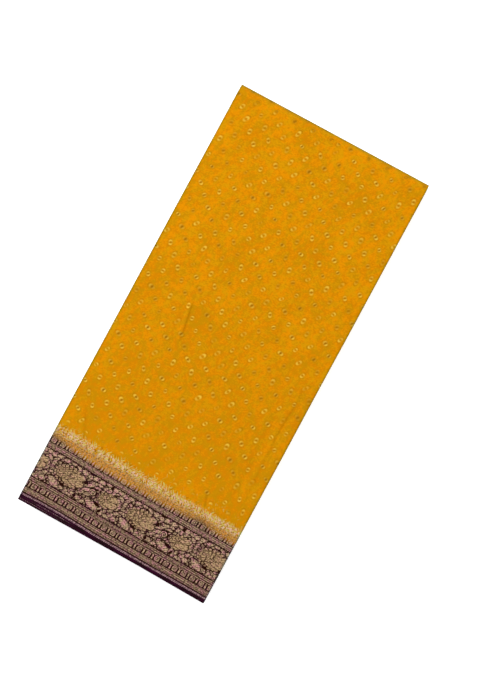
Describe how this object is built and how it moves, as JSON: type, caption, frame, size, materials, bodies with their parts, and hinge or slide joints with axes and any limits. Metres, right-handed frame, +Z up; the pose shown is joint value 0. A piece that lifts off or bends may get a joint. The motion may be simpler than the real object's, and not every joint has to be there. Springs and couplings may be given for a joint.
{
  "type": "folded banarasi sari",
  "caption": "Banarasi sari folded flat into a long narrow stack of thin cloth layers, with a round fold at the far end and woven borders along the near edge.",
  "frame": {"origin": "on the surface that the sari lies on, under the middle of the folded stack", "axes": "+X across the stack to the side where the top layer is folded, +Y along it from the borders to the round fold, +Z up"},
  "size_m": [0.256, 0.57, 0.0268],
  "materials": {
    "sari_cloth": "fine amber weave with pale gold metal-thread sprigs and a purple and gold brocade border"
  },
  "bodies": {
    "root": {"sari": "sari_cloth"}
  },
  "joints": []
}
